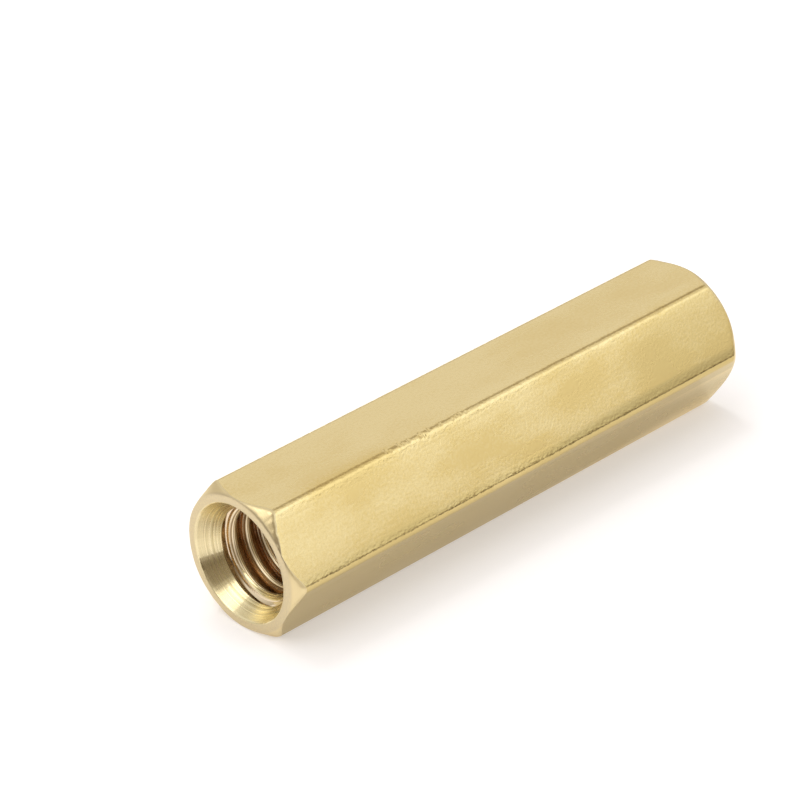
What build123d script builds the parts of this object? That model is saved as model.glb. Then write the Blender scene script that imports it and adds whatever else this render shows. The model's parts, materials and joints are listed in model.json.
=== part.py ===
from build123d import *

import os
from math import cos, pi, radians, tan

# A hexagon standoff: one piece of brass bar, turned at both ends and tapped right through.
# It lies along X on one of its flats, with the origin under its middle, on the surface below it.
# Lengths are in millimetres and angles in degrees.

# Thread, metric coarse, cut in a hole that is drilled to the thread's minor diameter
THREAD_MAJOR_DIAMETER = 6.0
THREAD_PITCH = 1.0

# Hexagon bar
BODY_LENGTH = 35.0
WALL_AT_FLATS = 1.0  # brass between the root of the thread and the middle of a flat
EDGE_RADIUS = 0.5  # rounding that drawing the bar leaves on its long edges
HEXAGON_SIDES = 6

# Turned ends, alike at both ends
COUNTERSINK_LIP = 0.5  # how far the mouth of the countersink stands outside the thread
COUNTERSINK_ANGLE = 60.0  # between opposite sides of the countersink
CHAMFER_BITE = 0.05  # how far the end chamfer cuts into the middle of a flat
CHAMFER_ANGLE = 45.0  # between the chamfer and the end face

# Radii and depths that follow
FLAT_RADIUS = THREAD_MAJOR_DIAMETER / 2 + WALL_AT_FLATS
CORNER_RADIUS = FLAT_RADIUS / cos(pi / HEXAGON_SIDES)
BORE_RADIUS = (THREAD_MAJOR_DIAMETER - THREAD_PITCH) / 2
MOUTH_RADIUS = THREAD_MAJOR_DIAMETER / 2 + COUNTERSINK_LIP
LAND_RADIUS = FLAT_RADIUS - CHAMFER_BITE
COUNTERSINK_DEPTH = (MOUTH_RADIUS - BORE_RADIUS) / tan(radians(COUNTERSINK_ANGLE / 2))
CHAMFER_DEPTH = (CORNER_RADIUS - LAND_RADIUS) * tan(radians(CHAMFER_ANGLE))


def hexagon_bar():
    """The drawn bar, centred on X with a flat below, and its long edges rounded."""
    section = Plane.YZ * RegularPolygon(FLAT_RADIUS, HEXAGON_SIDES, major_radius=False)
    bar = extrude(section, BODY_LENGTH / 2, both=True)
    return fillet(bar.edges().filter_by(Axis.X), EDGE_RADIUS)


def turned_envelope():
    """The lathe's work, revolved about X: the bore, both countersinks, the end lands and the chamfers."""
    end = BODY_LENGTH / 2
    right_end = [
        (end - COUNTERSINK_DEPTH, BORE_RADIUS),
        (end, MOUTH_RADIUS),
        (end, LAND_RADIUS),
        (end - CHAMFER_DEPTH, CORNER_RADIUS),
    ]
    left_end = [(-along, radius) for along, radius in reversed(right_end)]
    outline = Polyline(*right_end, *left_end, close=True)
    return revolve(make_face(outline), Axis.X)


standoff = Pos(0, 0, FLAT_RADIUS) * (hexagon_bar() & turned_envelope())

os.makedirs("parts", exist_ok=True)
export_step(standoff, "parts/hex_standoff.step")
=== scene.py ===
import bisect
import json
import math
from types import SimpleNamespace

import bmesh
import bpy
from mathutils import Matrix, Vector, noise as random_field


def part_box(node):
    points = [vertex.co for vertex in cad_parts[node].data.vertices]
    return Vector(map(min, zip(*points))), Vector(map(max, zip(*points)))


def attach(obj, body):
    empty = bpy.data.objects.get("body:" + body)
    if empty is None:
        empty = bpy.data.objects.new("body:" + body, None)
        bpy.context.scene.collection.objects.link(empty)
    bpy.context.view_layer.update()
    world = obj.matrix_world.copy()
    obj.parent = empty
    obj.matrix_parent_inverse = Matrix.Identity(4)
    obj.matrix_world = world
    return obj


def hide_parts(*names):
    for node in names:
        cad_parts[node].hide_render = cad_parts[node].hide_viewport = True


# A brass hexagon standoff with its thread and its surface finish, on a white floor in soft light.
# Lengths are in millimetres, and angles are written in degrees. The finished mesh is scaled to metres.
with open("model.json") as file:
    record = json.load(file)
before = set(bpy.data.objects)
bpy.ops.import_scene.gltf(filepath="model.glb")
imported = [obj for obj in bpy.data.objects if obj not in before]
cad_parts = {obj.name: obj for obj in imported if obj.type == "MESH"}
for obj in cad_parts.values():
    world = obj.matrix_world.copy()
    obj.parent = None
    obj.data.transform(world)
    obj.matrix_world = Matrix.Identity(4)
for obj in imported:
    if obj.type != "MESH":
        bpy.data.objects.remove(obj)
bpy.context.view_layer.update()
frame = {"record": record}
MM = 0.001
NODE = "hex_standoff"
BODY = "root"

# Sizes that follow from the frame: the bar's box and the wall of its tapped hole
node_low, node_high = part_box(NODE)
hole = next(mount for mount in frame["record"]["mounts"] if mount["kind"] == "threaded_hole")
HALF_LENGTH = (node_high[0] - node_low[0]) / 2 / MM
FLAT_RADIUS = (node_high[2] - node_low[2]) / 2 / MM
HALF_WIDTH = (node_high[1] - node_low[1]) / 2 / MM
BORE_RADIUS = hole["dims"]["r_mm"]
COUNTERSINK_DEPTH = HALF_LENGTH - hole["dims"]["length_mm"] / 2

# Hexagon bar, whose long edges are rounded until they fit its width
SIDES = 6
SECTOR = 2 * math.pi / SIDES
CORNER_RADIUS = FLAT_RADIUS / math.cos(SECTOR / 2)
EDGE_RADIUS = (CORNER_RADIUS - HALF_WIDTH) / (1 / math.cos(SECTOR / 2) - 1)
CROWN_SLOPE = math.radians(2.5)  # how far a flat leans over where it meets a rounded edge
CROWN_REACH = 0.45  # how far from the edge that lean has mostly gone
EDGE_STEPS = 10
FLAT_STEPS = 20
ROW_SPACING = 0.3

# Turned ends
COUNTERSINK_SLOPE = math.tan(math.radians(30.0))
MOUTH_RADIUS = BORE_RADIUS + COUNTERSINK_DEPTH * COUNTERSINK_SLOPE
CHAMFER_BITE = 0.05  # how far the chamfer cuts into the middle of a flat
LAND_RADIUS = FLAT_RADIUS - CHAMFER_BITE
EASED_EDGE = 0.14  # how far the rounding of the chamfer's two edges reaches
EASED_EDGE_SHARE = 0.4  # most of a narrow chamfer that one rounding may take
EASED_STEPS = 5
EASED_MOUTH = 0.04  # how far the rounding of the countersink's mouth reaches
RAGGED_SHARE = 0.7  # how much the rounding of the chamfer varies round an end
RAGGED_PER_MM = 1.7

# Burr between the chamfer and one flat, at one end of the bar
BURR_END = -1
BURR_ANGLE = math.radians(137)
BURR_REACH = math.radians(26)
BURR_SHIFT = 0.18  # how far the burr moves that edge along the bar at most
BURR_CHAMFER_SHARE = 0.5  # most of the chamfer that the burr may take
BURR_PER_MM = 2.6

# Thread: metric coarse, right hand, cut outwards from the drilled hole
PITCH = 1.0
MAJOR_RADIUS = 3.0
FLANK_SLOPE = math.tan(math.radians(30.0))
ROOT_FLAT_SHARE = 1 / 8  # width of the root as a share of the pitch
CREST_ROUNDING = 0.04  # how deep the rounding of the crests reaches
CREST_SHOULDER = 0.008  # how deep it is halfway
THREAD_COLUMNS = 144
THREAD_PHASE_SHARE = 0.45  # where in a turn the crest lies at the middle of the bar

# Knocks on one long edge: place along the bar, place across the edge, half length, depth
NICKED_CORNER = 2
NICK_WIDTH_SHARE = 1.6  # half width of a knock over its half length
NICK_RIM_SHARE = 0.5  # how steeply a knock rises into the rim of metal that it pushed up
NICKED_STRETCH = (-9.4, -2.2)
NICKED_ROW_SPACING = 0.045
NICKS = (
    (-11.7, -0.05, 0.18, 0.020),
    (-9.2, -0.08, 0.09, 0.030),
    (-8.6, -0.12, 0.12, 0.050),
    (-8.35, 0.02, 0.08, 0.035),
    (-7.7, -0.10, 0.09, 0.045),
    (-7.4, -0.02, 0.08, 0.030),
    (-7.0, -0.06, 0.10, 0.040),
    (-6.15, 0.02, 0.13, 0.070),
    (-5.9, 0.14, 0.10, 0.050),
    (-5.5, -0.08, 0.09, 0.040),
    (-4.6, -0.04, 0.09, 0.028),
    (-3.7, 0.05, 0.08, 0.040),
    (-3.45, -0.02, 0.08, 0.035),
    (-3.1, -0.05, 0.09, 0.045),
    (-2.7, 0.04, 0.08, 0.035),
    (3.5, -0.10, 0.22, 0.020),
    (8.0, -0.06, 0.26, 0.030),
    (12.8, -0.04, 0.24, 0.038),
)

# Mesh: material slots, the angle of an edge that is shaded sharp, and distances that count as none
DRAWN, FACED, SUNK, TAPPED = range(4)
SHARP_EDGE_ANGLE = math.radians(38.0)
JOIN_DISTANCE = 1e-5
CUT_DISTANCE = 1e-7

# Camera of the reference view
CAMERA_AZIMUTH = math.radians(-44.52)
CAMERA_ELEVATION = math.radians(31.06)
CAMERA_ROLL = math.radians(-1.65)
CAMERA_DISTANCE = 207.7
CAMERA_CLIP_SHARE = 0.1  # share of that distance where the view starts
CAMERA_LENS = 167.95
AIM_RIGHT = -3.985
AIM_UP = 2.284

# Light: a white tent that is not quite even, and two large soft lamps overhead
TENT_HORIZON_LEVEL = 0.50
TENT_LEVEL = 0.87
TENT_RISE = 0.45  # height, on a unit sphere, where the tent reaches its full level
TENT_SPOTS = (  # direction, angle that it fills, angle where it has faded out, change of level
    ((-0.50, -0.70, 0.50), 12, 40, -0.58),
    ((0.60, 0.15, 0.78), 3, 18, -0.40),
    ((0.46, -0.72, 0.52), 10, 30, 0.46),
    ((0.62, -0.78, 0.00), 5, 16, -0.48),
    ((-0.97, 0.05, 0.17), 9, 22, -0.52),
)
TENT_LOWEST = 0.05
TENT_WARMTH = (0.0, 0.15, 0.36)  # how fast red, green and blue fall off where the tent is dim
LAMP_DISTANCE = 300
LAMPS = (  # name, direction, side of its square, radiance, whether the brass mirrors it
    ("key", (-0.55, 0.02, 0.83), 200, 1.40, True),
    ("back", (0.05, 0.50, 0.86), 150, 3.60, False),
)

# Floor
FLOOR_RADIUS = 1500
FLOOR_SEGMENTS = 64
FLOOR_COLOR = (0.735, 0.725, 0.74)
FLOOR_LIFT = 0.36  # light that the floor adds where it is seen
FLOOR_GLOW = (0.99, 0.955, 0.93)

# Brass tones
BRIGHT_BRASS = (0.875, 0.715, 0.375)
TARNISHED_BRASS = (0.78, 0.59, 0.24)
# dull tone; over the lower front flat it is partly a dull film and partly painted shade
DULL_AND_SHADED_BRASS = (0.55, 0.43, 0.18)
FACED_BRASS = (0.62, 0.52, 0.33)
SUNK_BRASS = (0.835, 0.725, 0.445)
RING_BRASS = (0.66, 0.56, 0.31)
# the thread's pale crest tone is a painted highlight, and its brown root tone is painted shade
LIT_CREST_BRASS = (0.93, 0.81, 0.58)
SCORED_BRASS = (0.42, 0.30, 0.16)
SHADED_ROOT_BRASS = (0.57, 0.33, 0.17)

# Noise, which runs from 0 to 1: where nearly all its values lie, and its middle and upper stretches
WHOLE_NOISE = (0.3, 0.7)
MIDDLE_NOISE = (0.35, 0.65)
UPPER_NOISE = (0.45, 0.75)
LINE_DETAIL = 3.0

# Drawn skin: each noise has its features a millimetre along, across and up, and its detail
CLOUDS = ((0.16, 0.32, 0.32), 4)
CLOUDED_STAIN = (0.55, 1.3)  # how strongly a stain shows in thin and in thick clouds
CLOUD_TARNISH = (0.0, 0.5)  # tarnish that the clouds add
DRAWN_ROUGHNESS = (0.21, 0.30)
GRAIN = ((6.5, 6.5, 6.5), 3)
GRAIN_TARNISH = (-0.2, 0.35)  # tarnish that the grain takes away or adds
GRAIN_DEPTH = 0.0052
GRAIN_RISE = (-15.0, -3.0)  # stretch of the bar over which the grain reaches its depth
GRAIN_RISE_SHARES = (0.5, 1.0)
DRAWN_LINES = ((0.30, 5.0, 5.0), 2)
DRAWN_LINE_DEPTH = 0.0008
EDGE_WEAR = ((4.0, 6.0, 6.0), 3)
EDGE_WEAR_DEPTH = 0.024
EDGE_WEAR_FADE = (0.0, 14.0)  # stretch of the bar over which the wear of the long edges fades
EDGE_WEAR_FADE_SHARES = (1.0, 0.45)
EDGE_POLISH = 0.10  # how much smoother the long edges are

# Stains on the drawn skin: place along it, angle up from the -Y corner, half length, half angle, strength
TARNISH_STAINS = (
    (16.0, 30.0, 16.0, 40.0, 0.90),
    (1.0, 8.0, 15.0, 14.0, 0.65),
    (0.0, 30.0, 60.0, 36.0, 0.45),
    (-15.5, 100.0, 2.6, 20.0, 0.20),
    (-12.0, 30.0, 9.0, 40.0, 0.60),
)
# the first row darkens the whole lower front flat: partly a dull film, partly painted shade of the shaded
# floor it faces
DULL_STAINS_AND_SHADE = (
    (-12.0, -31.0, 36.0, 41.0, 1.0),
    (16.5, 30.0, 9.0, 36.0, 0.20),
    (12.0, -2.0, 16.0, 13.0, 0.80),
)
STAIN_CORE = 0.5  # squared share of a stain's reach where it starts to fade

# Faced lands and chamfers
FACING_RINGS_PER_MM = 16
FACING_RING_DEPTH = 0.003
FACED_ROUGHNESS = (0.30, 0.46)
FACED_GRAIN = ((8.0, 8.0, 8.0), 2)
FACED_GRAIN_DEPTH = 0.004
FACED_GRAIN_BRIGHT_SHARE = 0.3  # how far the grain goes to the bright tone
CHAMFER_BRIGHT_SHARE = 0.6  # how far the chamfers go to it

# Countersinks
SINKING_RINGS_PER_MM = 14
SINKING_RING_DEPTH = 0.012
SINKING_RING_SHARE = 0.8  # how far the rings go to their own tone
SUNK_ROUGHNESS = (0.22, 0.34)
SUNK_ANISOTROPY = 0.6
SUNK_SHEEN_TURN_SHARE = 0.25  # how far the sheen is turned from the way round the bar
CHATTER_WAVES = (97, 61, 23)  # in a turn
CHATTER_DEPTH = 0.002
CHATTER_SHARE = 0.1  # how much the chatter adds to the rings

# Tapped thread, with its lines counted across one pitch
RIDGES_A_PITCH = 5
RIDGE_DEPTH = 0.115
SCORES_A_PITCH = 8
SCORE_SHARES = (0.25, 0.6)  # of the way to the next score, where one starts to fade and has gone
SCORED_SHARES = (0.2, 1.0)  # how dark the scores are in the roots and on the crests
STREAKS_A_PITCH = (6, 10)
STREAK_STRETCH = (0.45, 0.8)  # levels of the waves where a streak starts and is full
STREAK_UNSHADED_SHARE = 0.6  # how much of the painted shade a full streak takes away
ROOT_SHADE_DEPTHS = (0.05, 0.28)  # depths outside the crests where the painted shade of the roots starts and is full
MOUTH_SHADE_DEPTHS = (-0.3, 1.0)  # depths behind the countersink between which the painted shade deeper in the hole grows
MOUTH_SHADE_SHARES = (0.15, 1.0)
TORN_LINES_PER_MM = 30
TORN_LINE_DEPTH = 0.010
TORN_RISE = (0.2, 1.2)  # depths behind the countersink between which the torn lines grow
TAPPED_ROUGHNESS = (0.40, 0.14)  # on the crests and in the roots


def bezier(start, control, end, steps):
    """Points of a curve that leaves start and reaches end towards the control point."""
    points = []
    for step in range(steps + 1):
        t = step / steps
        points.append(start * (1 - t) ** 2 + control * 2 * t * (1 - t) + end * t ** 2)
    return points


def polar(radius, angle):
    """A point of the bar's section."""
    return Vector((math.cos(angle), math.sin(angle))) * radius


def section_outline():
    """Points once round the bar's section, each with its corner's number, or None on a flat."""
    outline = []
    crown = CROWN_SLOPE * CROWN_REACH
    rounded = SECTOR - 2 * CROWN_SLOPE
    inner = (FLAT_RADIUS - crown - EDGE_RADIUS * math.cos(CROWN_SLOPE)) / math.cos(SECTOR / 2)
    flat_half = inner * math.sin(SECTOR / 2) - EDGE_RADIUS * math.sin(CROWN_SLOPE)
    for corner in range(SIDES):
        middle = corner * SECTOR
        for step in range(EDGE_STEPS + 1):
            angle = middle + rounded * (step / EDGE_STEPS - 0.5)
            outline.append((polar(inner, middle) + polar(EDGE_RADIUS, angle), corner))
        outward = middle + SECTOR / 2
        sideways = outward + math.pi / 2
        for step in range(1, FLAT_STEPS):
            across = -flat_half * math.cos(math.pi * step / FLAT_STEPS)
            from_ends = (across - flat_half, -across - flat_half)
            lean = sum(math.exp(distance / CROWN_REACH) for distance in from_ends)
            point = polar(FLAT_RADIUS - crown * lean, outward) + polar(across, sideways)
            outline.append((point, None))
    return outline


def lathe_point(along, radius, angle):
    """A point at that distance along the bar and from its axis."""
    return Vector((along, radius * math.cos(angle), FLAT_RADIUS + radius * math.sin(angle)))


def nick_depth(along, across):
    """How deep the knocks on the nicked edge are there."""
    depth = 0
    for place, offset, half_length, deepest in NICKS:
        lengthways = (along - place) / half_length
        sideways = (across - offset) / half_length / NICK_WIDTH_SHARE
        distance = math.hypot(lengthways, sideways)
        depth += deepest * (1 - NICK_RIM_SHARE * distance ** 2) * math.exp(-distance ** 2)
    return depth


def rows_along():
    """Places of the rows between the turned ends, as shares of that length, closer on the nicked stretch."""
    stops = [-HALF_LENGTH, *NICKED_STRETCH, HALF_LENGTH]
    spacings = [ROW_SPACING, NICKED_ROW_SPACING, ROW_SPACING]
    shares = []
    for start, end, spacing in zip(stops, stops[1:], spacings):
        count = round((end - start) / spacing)
        for row in range(count):
            shares.append(((start + (end - start) * row / count) / HALF_LENGTH + 1) / 2)
    return shares[1:]


def end_profile(point, end):
    """One end of a column, from the flat over the rounded chamfer to the land, as (along, radius) points."""
    radius = point.length
    height = radius - LAND_RADIUS
    slant = Vector((1, -1)).normalized()
    flat_corner = Vector((HALF_LENGTH - height, radius))
    land_corner = Vector((HALF_LENGTH, LAND_RADIUS))
    place = Vector((*point, end * HALF_LENGTH))
    eased = EASED_EDGE * (1 + RAGGED_SHARE * random_field.noise(place * RAGGED_PER_MM))
    reach = min(eased, EASED_EDGE_SHARE * height * math.sqrt(2))
    from_burr = abs(math.atan2(point.y, point.x) - BURR_ANGLE) / BURR_REACH
    if end == BURR_END and from_burr < 1:
        shift = BURR_SHIFT * (1 - from_burr ** 2) * random_field.noise(place * BURR_PER_MM)
        flat_corner.x += min(shift, height * BURR_CHAMFER_SHARE)
    flat_start = flat_corner - Vector((reach, 0))
    land_end = land_corner - Vector((0, eased))
    points = bezier(flat_start, flat_corner, flat_corner + slant * reach, EASED_STEPS)
    points += bezier(land_corner - slant * reach, land_corner, land_end, EASED_STEPS)
    return [Vector((end * p.x, p.y)) for p in points]


def add_outside(bm):
    """The flats, the rounded long edges and the end chamfers, as a grid of columns round the bar."""
    grid = []
    shares = rows_along()
    for point, corner in section_outline():
        angle = math.atan2(point.y, point.x)
        left_end = end_profile(point, -1)[::-1]
        right_end = end_profile(point, 1)
        start, end = left_end[-1], right_end[0]
        middle = [start.lerp(end, share) for share in shares]
        if corner == NICKED_CORNER:
            across = (angle - corner * SECTOR) * HALF_WIDTH
            middle = [Vector((p.x, p.y - nick_depth(p.x, across))) for p in middle]
        column = left_end + middle + right_end
        grid.append([bm.verts.new(lathe_point(p.x, p.y, angle)) for p in column])
    last_row = len(grid[0]) - 1
    turned_rows = 2 * EASED_STEPS + 1
    for index, column in enumerate(grid):
        following = grid[(index + 1) % len(grid)]
        for row in range(last_row):
            face = bm.faces.new((column[row], following[row], following[row + 1], column[row + 1]))
            turned = row < turned_rows or row >= last_row - turned_rows
            face.material_index = FACED if turned else DRAWN


def thread_profile():
    """One turn of the thread as (share of a turn, radius) knots, starting at the middle of a crest."""
    root_half = ROOT_FLAT_SHARE / 2
    flank = (MAJOR_RADIUS - BORE_RADIUS - CREST_ROUNDING) * FLANK_SLOPE / PITCH
    crest_half = 0.5 - root_half - flank
    half = [
        (crest_half / 2, BORE_RADIUS + CREST_SHOULDER),
        (crest_half, BORE_RADIUS + CREST_ROUNDING),
        (0.5 - root_half, MAJOR_RADIUS),
    ]
    return [(0, BORE_RADIUS)] + half + [(1 - share, radius) for share, radius in reversed(half)]


PROFILE = thread_profile()
PROFILE_SHARES = [share for share, _ in PROFILE]


def thread_radius(share):
    """The thread's radius at that share of a turn."""
    share %= 1
    after = bisect.bisect_right(PROFILE_SHARES, share)
    low_share, low = PROFILE[after - 1]
    high_share, high = PROFILE[after % len(PROFILE)]
    if after == len(PROFILE):
        high_share += 1
    return low + (high - low) * (share - low_share) / (high_share - low_share)


def turn_share(along, angle):
    """Which part of the thread's turn lies there. A right-hand thread moves along +X as the angle grows."""
    return along / PITCH - angle / (2 * math.pi) - THREAD_PHASE_SHARE


def cone_radius(along):
    """The radius of the countersinks with their eased mouths, below the bore's away from the ends."""
    depth = HALF_LENGTH - abs(along)
    cone = MOUTH_RADIUS - depth * COUNTERSINK_SLOPE
    eased = MOUTH_RADIUS + EASED_MOUTH - depth / COUNTERSINK_SLOPE
    return max(cone, eased)


def flat_thread_grid():
    """The bore unrolled, with lines along the thread's knots: x is the angle, y the place along the bar."""
    flat = bmesh.new()
    turns = math.ceil(HALF_LENGTH / PITCH) + 1
    columns = []
    for step in range(THREAD_COLUMNS + 1):
        angle = 2 * math.pi * step / THREAD_COLUMNS
        column = []
        for turn in range(-turns - 1, turns):
            for share in PROFILE_SHARES:
                along = (turn + share + THREAD_PHASE_SHARE + step / THREAD_COLUMNS) * PITCH
                column.append(flat.verts.new((angle, along, 0)))
        columns.append(column)
    for column, following in zip(columns, columns[1:]):
        for row in range(len(column) - 1):
            flat.faces.new((column[row], column[row + 1], following[row + 1], following[row]))
    return flat


def cut(flat, point, normal, clear=False):
    """Cuts the unrolled bore along a plane, and drops what lies beyond it if asked."""
    geometry = flat.verts[:] + flat.edges[:] + flat.faces[:]
    bmesh.ops.bisect_plane(
        flat, geom=geometry, dist=CUT_DISTANCE, plane_co=point, plane_no=normal, clear_outer=clear)


def add_bore(bm):
    """The tapped hole with its countersinks. The thread is cut where a countersink is wider than it is."""
    flat = flat_thread_grid()
    ease_depth = EASED_MOUTH / (1 / COUNTERSINK_SLOPE - COUNTERSINK_SLOPE)
    for end in (-1, 1):
        cut(flat, (0, end * HALF_LENGTH, 0), (0, end, 0), clear=True)
        cut(flat, (0, end * (HALF_LENGTH - ease_depth), 0), (0, end, 0))
    for vert in flat.verts:
        angle, along, _ = vert.co
        vert.co.z = cone_radius(along) - thread_radius(turn_share(along, angle))
    cut(flat, (0, 0, 0), (0, 0, 1))
    placed = {}
    for vert in flat.verts:
        angle, along, _ = vert.co
        radius = max(cone_radius(along), thread_radius(turn_share(along, angle)))
        placed[vert] = bm.verts.new(lathe_point(along, radius, angle))
    for face in flat.faces:
        new = bm.faces.new([placed[vert] for vert in face.verts])
        cone_stands_out = sum(vert.co.z for vert in face.verts) > 0
        new.material_index = SUNK if cone_stands_out else TAPPED
    flat.free()


def add_lands(bm):
    """The flat ring at each end, between the countersink's mouth and the chamfer."""
    for end in (-1, 1):
        plane = end * HALF_LENGTH
        rim = [
            edge for edge in bm.edges
            if edge.is_boundary and all(abs(vert.co.x - plane) < JOIN_DISTANCE for vert in edge.verts)
        ]
        filled = bmesh.ops.triangle_fill(bm, edges=rim, normal=(end, 0, 0), use_beauty=True)
        for item in filled["geom"]:
            if isinstance(item, bmesh.types.BMFace):
                item.material_index = FACED


def standoff_mesh():
    """The whole standoff as one closed mesh, in metres."""
    bm = bmesh.new()
    add_outside(bm)
    add_bore(bm)
    bmesh.ops.remove_doubles(bm, verts=bm.verts[:], dist=JOIN_DISTANCE)
    add_lands(bm)
    bmesh.ops.recalc_face_normals(bm, faces=bm.faces[:])
    for face in bm.faces:
        face.smooth = True
    bm.transform(Matrix.Scale(MM, 4))
    mesh = bpy.data.meshes.new("standoff")
    bm.to_mesh(mesh)
    bm.free()
    mesh.set_sharp_from_angle(angle=SHARP_EDGE_ANGLE)
    return mesh


def add_node(tree, kind, inputs=None, **settings):
    """A new node with its settings, whose inputs are filled with values or linked to other nodes' outputs."""
    node = tree.nodes.new("ShaderNode" + kind)
    for name, value in settings.items():
        setattr(node, name, value)
    for socket, value in (inputs or {}).items():
        if isinstance(value, bpy.types.NodeSocket):
            tree.links.new(value, node.inputs[socket])
        else:
            node.inputs[socket].default_value = value
    return node


def calculate(tree, operation, first, second=0.0):
    """The result of one arithmetic step on two numbers or outputs."""
    return add_node(tree, "Math", {0: first, 1: second}, operation=operation).outputs[0]


def add(tree, first, second):
    """The sum of two numbers or outputs."""
    return calculate(tree, "ADD", first, second)


def subtract(tree, first, second):
    """The difference of two numbers or outputs."""
    return calculate(tree, "SUBTRACT", first, second)


def multiply(tree, first, second):
    """The product of two numbers or outputs."""
    return calculate(tree, "MULTIPLY", first, second)


def sum_of_squares(tree, first, second):
    """The squares of two outputs, added up."""
    return add(tree, calculate(tree, "POWER", first, 2), calculate(tree, "POWER", second, 2))


def rescale(tree, value, into, out_of=(0.0, 1.0), **settings):
    """A value brought out of one range into another, and held inside it."""
    ranges = {"From Min": out_of[0], "From Max": out_of[1], "To Min": into[0], "To Max": into[1]}
    return add_node(tree, "MapRange", {"Value": value, **ranges}, **settings).outputs[0]


def blend_colors(tree, share, first, second):
    """A colour between two colours or outputs."""
    mix = add_node(tree, "Mix", data_type="RGBA")
    tree.links.new(share, mix.inputs["Factor"])
    color_sockets = [socket for socket in mix.inputs if socket.type == "RGBA"]
    for socket, color in zip(color_sockets, (first, second)):
        if isinstance(color, bpy.types.NodeSocket):
            tree.links.new(color, socket)
        else:
            socket.default_value = (*color, 1)
    return next(socket for socket in mix.outputs if socket.type == "RGBA")


def noise(tree, position, per_mm, detail):
    """Even noise from 0 to 1 over a position in millimetres, with so many features a millimetre each way."""
    place = add_node(tree, "Mapping", {"Vector": position, "Scale": per_mm})
    texture = add_node(tree, "TexNoise", {"Vector": place.outputs[0], "Scale": 1.0, "Detail": detail})
    return texture.outputs[0]


def line_noise(tree, measure, per_mm):
    """Noise from 0 to 1 along one measure, for lines where that measure stays the same."""
    inputs = {"W": multiply(tree, measure, per_mm), "Scale": 1.0, "Detail": LINE_DETAIL}
    return add_node(tree, "TexNoise", inputs, noise_dimensions="1D").outputs[0]


def ripples(tree, turn, counts):
    """Waves from 0 to 1 that close on themselves after one turn, with so many of each kind in it."""
    total = 0.5
    for count in counts:
        wave = calculate(tree, "SINE", multiply(tree, turn, 2 * math.pi * count))
        total = add(tree, multiply(tree, wave, 0.5 / len(counts)), total)
    return total


def sawtooth(tree, turn, count):
    """Slopes from 0 to 1, with so many of them in one turn."""
    return calculate(tree, "FRACT", multiply(tree, turn, count))


def bar_place(tree):
    """A point's place on the bar in millimetres, whole and as its parts along, across and above the axis."""
    metres = add_node(tree, "TexCoord").outputs["Object"]
    whole = add_node(tree, "VectorMath", {0: metres, "Scale": 1 / MM}, operation="SCALE").outputs[0]
    parts = add_node(tree, "SeparateXYZ", {0: whole}).outputs
    above = subtract(tree, parts["Z"], FLAT_RADIUS)
    return SimpleNamespace(whole=whole, along=parts["X"], across=parts["Y"], above=above)


def axis_distance(tree, place):
    """How far a place is from the bar's axis."""
    return calculate(tree, "SQRT", sum_of_squares(tree, place.across, place.above))


def turn_about_axis(tree, place):
    """The share of a turn about the bar's axis, from +Y."""
    return multiply(tree, calculate(tree, "ARCTAN2", place.above, place.across), 1 / (2 * math.pi))


def angle_from_front(tree, place):
    """The angle about the bar's axis, up from -Y."""
    return calculate(tree, "ARCTAN2", place.above, multiply(tree, place.across, -1))


def stain(tree, place, stains):
    """How stained a place is, from 0 to 1, by soft round patches."""
    total = 0.0
    angle = angle_from_front(tree, place)
    for middle, middle_degrees, half_length, half_degrees, strength in stains:
        lengthways = rescale(tree, place.along, (-1, 1), (middle - half_length, middle + half_length))
        low = math.radians(middle_degrees - half_degrees)
        high = math.radians(middle_degrees + half_degrees)
        around = rescale(tree, angle, (-1, 1), (low, high))
        squares = sum_of_squares(tree, lengthways, around)
        patch = rescale(tree, squares, (strength, 0), (STAIN_CORE, 1))
        total = calculate(tree, "MAXIMUM", patch, total)
    return total


def bumps(tree, *layers):
    """A normal that carries layers of relief, each a height from 0 to 1 and its depth in millimetres."""
    normal = None
    for height, depth in layers:
        inputs = {"Height": height, "Distance": depth * MM}
        if normal:
            inputs["Normal"] = normal
        normal = add_node(tree, "Bump", inputs).outputs[0]
    return normal


def brass(name):
    """A new metal material, with its node tree and its shader."""
    material = bpy.data.materials.new(name)
    material.use_nodes = True
    tree = material.node_tree
    shader = tree.nodes["Principled BSDF"]
    shader.inputs["Metallic"].default_value = 1
    return material, tree, shader


def finish_brass(tree, shader, color, roughness, normal):
    """Links the varying colour, roughness and relief to the shader."""
    tree.links.new(color, shader.inputs["Base Color"])
    tree.links.new(roughness, shader.inputs["Roughness"])
    tree.links.new(normal, shader.inputs["Normal"])


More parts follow.
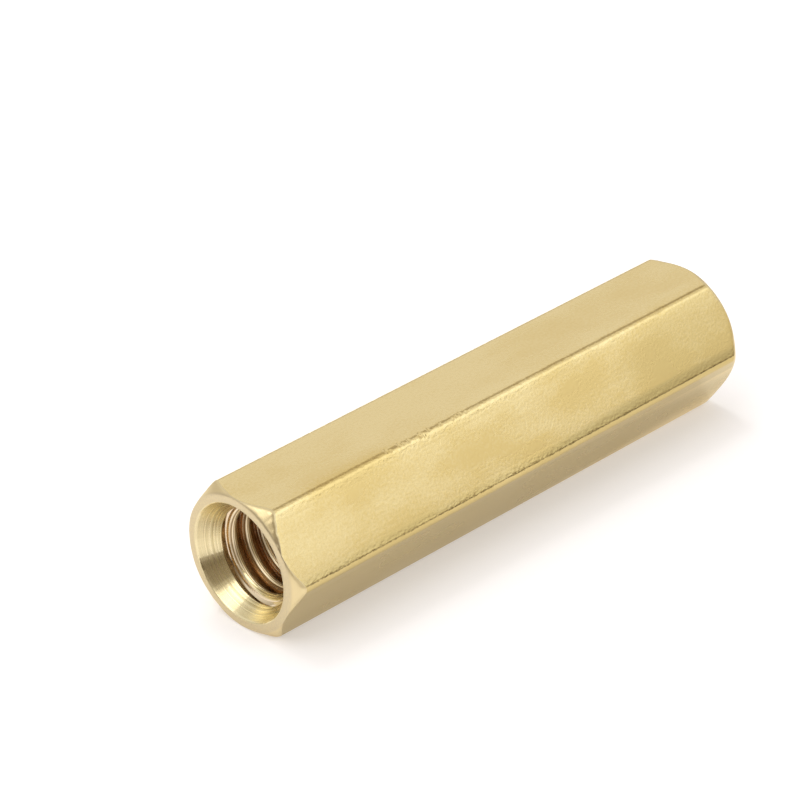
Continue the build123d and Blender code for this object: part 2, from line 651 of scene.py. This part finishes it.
def drawn_brass():
    """The bar's own skin: cloudy tarnish, fine grain, faint lines from drawing, and long edges with wear."""
    material, tree, shader = brass("drawn_brass")
    place = bar_place(tree)
    radius = axis_distance(tree, place)
    clouds = noise(tree, place.whole, *CLOUDS)
    grain = noise(tree, place.whole, *GRAIN)
    lines = noise(tree, place.whole, *DRAWN_LINES)

    clouded = rescale(tree, clouds, CLOUDED_STAIN, MIDDLE_NOISE)
    tarnish = multiply(tree, stain(tree, place, TARNISH_STAINS), clouded)
    tarnish = add(tree, tarnish, rescale(tree, clouds, CLOUD_TARNISH, UPPER_NOISE))
    tarnish = add(tree, tarnish, rescale(tree, grain, GRAIN_TARNISH, WHOLE_NOISE))
    color = blend_colors(tree, tarnish, BRIGHT_BRASS, TARNISHED_BRASS)
    # dull stains, and painted shade over the lower front flat
    color = blend_colors(tree, stain(tree, place, DULL_STAINS_AND_SHADE), color, DULL_AND_SHADED_BRASS)

    polish = rescale(tree, radius, (0.0, EDGE_POLISH), (FLAT_RADIUS + EDGE_RADIUS / 2, HALF_WIDTH))
    roughness = subtract(tree, rescale(tree, clouds, DRAWN_ROUGHNESS, WHOLE_NOISE), polish)

    pits = multiply(tree, grain, rescale(tree, place.along, GRAIN_RISE_SHARES, GRAIN_RISE))
    edge = rescale(tree, radius, (0.0, 1.0), (HALF_WIDTH - EDGE_RADIUS / 2, HALF_WIDTH))
    edge = multiply(tree, edge, rescale(tree, place.along, EDGE_WEAR_FADE_SHARES, EDGE_WEAR_FADE))
    wear = multiply(tree, edge, noise(tree, place.whole, *EDGE_WEAR))
    relief = bumps(tree, (pits, GRAIN_DEPTH), (lines, DRAWN_LINE_DEPTH), (wear, EDGE_WEAR_DEPTH))
    finish_brass(tree, shader, color, roughness, relief)
    return material


def faced_brass():
    """The end lands and chamfers: duller, with fine rings from facing."""
    material, tree, shader = brass("faced_brass")
    place = bar_place(tree)
    radius = axis_distance(tree, place)
    rings = line_noise(tree, radius, FACING_RINGS_PER_MM)
    grain = noise(tree, place.whole, *FACED_GRAIN)
    chamfer = rescale(tree, radius, (0.0, CHAMFER_BRIGHT_SHARE), (LAND_RADIUS, LAND_RADIUS + EASED_EDGE))
    bright_grain = rescale(tree, grain, (0.0, FACED_GRAIN_BRIGHT_SHARE), WHOLE_NOISE)
    color = blend_colors(tree, calculate(tree, "MAXIMUM", bright_grain, chamfer), FACED_BRASS, BRIGHT_BRASS)
    roughness = rescale(tree, rings, FACED_ROUGHNESS, WHOLE_NOISE)
    relief = bumps(tree, (rings, FACING_RING_DEPTH), (grain, FACED_GRAIN_DEPTH))
    finish_brass(tree, shader, color, roughness, relief)
    return material


def sunk_brass():
    """The countersinks: bright, with rings and a little chatter from the cutter."""
    material, tree, shader = brass("sunk_brass")
    place = bar_place(tree)
    rings = line_noise(tree, axis_distance(tree, place), SINKING_RINGS_PER_MM)
    chatter = ripples(tree, turn_about_axis(tree, place), CHATTER_WAVES)
    uneven = add(tree, rings, multiply(tree, chatter, CHATTER_SHARE))
    share = rescale(tree, uneven, (0.0, SINKING_RING_SHARE), UPPER_NOISE)
    color = blend_colors(tree, share, SUNK_BRASS, RING_BRASS)
    roughness = rescale(tree, rings, SUNK_ROUGHNESS, WHOLE_NOISE)
    shader.inputs["Anisotropic"].default_value = SUNK_ANISOTROPY
    shader.inputs["Anisotropic Rotation"].default_value = SUNK_SHEEN_TURN_SHARE
    tangent = add_node(tree, "Tangent", direction_type="RADIAL", axis="X")
    tree.links.new(tangent.outputs[0], shader.inputs["Tangent"])
    relief = bumps(tree, (rings, SINKING_RING_DEPTH), (chatter, CHATTER_DEPTH))
    finish_brass(tree, shader, color, roughness, relief)
    return material


def tapped_brass():
    """The thread: a painted highlight on the crests, painted brown shade in the roots, with fine lines that
    follow its turns.
    """
    material, tree, shader = brass("tapped_brass")
    place = bar_place(tree)
    radius = axis_distance(tree, place)
    pitches = multiply(tree, place.along, 1 / PITCH)
    thread_turn = subtract(tree, pitches, turn_about_axis(tree, place))
    root = rescale(tree, radius, (0.0, 1.0), [BORE_RADIUS + depth for depth in ROOT_SHADE_DEPTHS])
    crest = subtract(tree, 1.0, root)
    from_middle = calculate(tree, "ABSOLUTE", place.along)
    inside = subtract(tree, HALF_LENGTH - COUNTERSINK_DEPTH, from_middle)

    # painted shade: brown in the roots, growing deeper into the hole, against a painted pale highlight on the
    # crests
    root_shade = multiply(tree, root, rescale(tree, inside, MOUTH_SHADE_SHARES, MOUTH_SHADE_DEPTHS))
    streaks = ripples(tree, thread_turn, STREAKS_A_PITCH)
    streaks = rescale(tree, streaks, (0.0, STREAK_UNSHADED_SHARE), STREAK_STRETCH)
    root_shade = subtract(tree, root_shade, multiply(tree, streaks, root_shade))
    color = blend_colors(tree, root_shade, LIT_CREST_BRASS, SHADED_ROOT_BRASS)
    scores = rescale(tree, sawtooth(tree, thread_turn, SCORES_A_PITCH), (1.0, 0.0), SCORE_SHARES)
    scores = multiply(tree, scores, rescale(tree, crest, SCORED_SHARES))
    color = blend_colors(tree, scores, color, SCORED_BRASS)

    towards_middle = calculate(tree, "SIGN", multiply(tree, place.along, -1))
    ridges = multiply(tree, sawtooth(tree, thread_turn, RIDGES_A_PITCH), towards_middle)
    ridges = multiply(tree, ridges, crest)
    torn = line_noise(tree, radius, TORN_LINES_PER_MM)
    torn = multiply(tree, torn, rescale(tree, inside, (0.0, 1.0), TORN_RISE))
    roughness = rescale(tree, root, TAPPED_ROUGHNESS)
    relief = bumps(tree, (ridges, RIDGE_DEPTH), (torn, TORN_LINE_DEPTH))
    finish_brass(tree, shader, color, roughness, relief)
    return material


def add_standoff():
    """The standoff with its four finishes, in the order of the mesh's material slots."""
    mesh = standoff_mesh()
    for material in (drawn_brass, faced_brass, sunk_brass, tapped_brass):
        mesh.materials.append(material())
    piece = bpy.data.objects.new("standoff", mesh)
    bpy.context.collection.objects.link(piece)
    weighted = piece.modifiers.new("even_shading", "WEIGHTED_NORMAL")
    weighted.keep_sharp = True
    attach(piece, BODY)
    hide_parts(NODE)


def floor_material():
    """White card that is lifted to plain white where it is seen, and keeps the shadow."""
    material = bpy.data.materials.new("white_card")
    material.use_nodes = True
    tree = material.node_tree
    tree.nodes.clear()
    path = add_node(tree, "LightPath").outputs
    seen = calculate(tree, "MAXIMUM", path["Is Camera Ray"], path["Is Glossy Ray"])
    seen = calculate(tree, "MAXIMUM", seen, path["Is Transmission Ray"])
    lift = multiply(tree, seen, FLOOR_LIFT)
    diffuse = add_node(tree, "BsdfDiffuse", {"Color": (*FLOOR_COLOR, 1)})
    glow = add_node(tree, "Emission", {"Color": (*FLOOR_GLOW, 1), "Strength": lift})
    both = add_node(tree, "AddShader", {0: diffuse.outputs[0], 1: glow.outputs[0]})
    add_node(tree, "OutputMaterial", {"Surface": both.outputs[0]})
    return material


def add_floor():
    """A wide round floor under the bar."""
    mesh = bpy.data.meshes.new("floor")
    bm = bmesh.new()
    bmesh.ops.create_circle(bm, cap_ends=True, segments=FLOOR_SEGMENTS, radius=FLOOR_RADIUS * MM)
    bm.to_mesh(mesh)
    bm.free()
    mesh.materials.append(floor_material())
    floor = bpy.data.objects.new("floor", mesh)
    bpy.context.collection.objects.link(floor)


def add_tent():
    """The white surroundings, as a level that depends on the direction."""
    world = bpy.data.worlds.new("tent")
    bpy.context.scene.world = world
    world.use_nodes = True
    tree = world.node_tree
    direction = add_node(tree, "TexCoord").outputs["Generated"]
    height = add_node(tree, "SeparateXYZ", {0: direction}).outputs["Z"]
    level = rescale(tree, height, (TENT_HORIZON_LEVEL, TENT_LEVEL), (0.0, TENT_RISE))
    for towards, filled, faded, change in TENT_SPOTS:
        both = {0: direction, 1: Vector(towards).normalized()}
        aligned = add_node(tree, "VectorMath", both, operation="DOT_PRODUCT").outputs["Value"]
        fade = (math.cos(math.radians(faded)), math.cos(math.radians(filled)))
        spot = rescale(tree, aligned, (0, change), fade, interpolation_type="SMOOTHSTEP")
        level = add(tree, spot, level)
    level = calculate(tree, "MAXIMUM", level, TENT_LOWEST)
    red, green, blue = [calculate(tree, "POWER", level, warmth) for warmth in TENT_WARMTH]
    color = add_node(tree, "CombineColor", {"Red": red, "Green": green, "Blue": blue})
    background = tree.nodes["Background"]
    tree.links.new(color.outputs[0], background.inputs["Color"])
    tree.links.new(level, background.inputs["Strength"])


def add_lamp(name, direction, size, radiance, mirrored):
    """A square soft lamp that points at the bar."""
    side = size * MM
    data = bpy.data.lights.new(name, "AREA")
    data.shape = "SQUARE"
    data.size = side
    data.energy = radiance * math.pi * side ** 2
    lamp = bpy.data.objects.new(name, data)
    place = Vector(direction).normalized() * LAMP_DISTANCE * MM
    lamp.location = place
    lamp.rotation_euler = (-place).to_track_quat("-Z", "Y").to_euler()
    lamp.visible_glossy = mirrored
    bpy.context.collection.objects.link(lamp)


def add_camera():
    """The reference view. The camera is placed round the bar's middle, and aimed a little beside it."""
    level = Vector((math.sin(CAMERA_AZIMUTH), -math.cos(CAMERA_AZIMUTH), 0))
    back = level * math.cos(CAMERA_ELEVATION) + Vector((0, 0, math.sin(CAMERA_ELEVATION)))
    right = Vector((math.cos(CAMERA_AZIMUTH), math.sin(CAMERA_AZIMUTH), 0))
    up = back.cross(right)
    middle = Vector((0, 0, FLAT_RADIUS))
    place = middle + back * CAMERA_DISTANCE
    aim = middle + right * AIM_RIGHT + up * AIM_UP
    turn = (aim - place).to_track_quat("-Z", "Y").to_matrix()
    roll = Matrix.Rotation(CAMERA_ROLL, 3, "Z")
    data = bpy.data.cameras.new("camera")
    data.lens = CAMERA_LENS
    data.clip_start = CAMERA_DISTANCE * CAMERA_CLIP_SHARE * MM
    camera = bpy.data.objects.new("camera", data)
    camera.matrix_world = Matrix.Translation(place * MM) @ (turn @ roll).to_4x4()
    bpy.context.collection.objects.link(camera)
    bpy.context.scene.camera = camera


bpy.context.scene.view_settings.view_transform = "Standard"
add_standoff()
add_floor()
add_tent()
for lamp_settings in LAMPS:
    add_lamp(*lamp_settings)
add_camera()
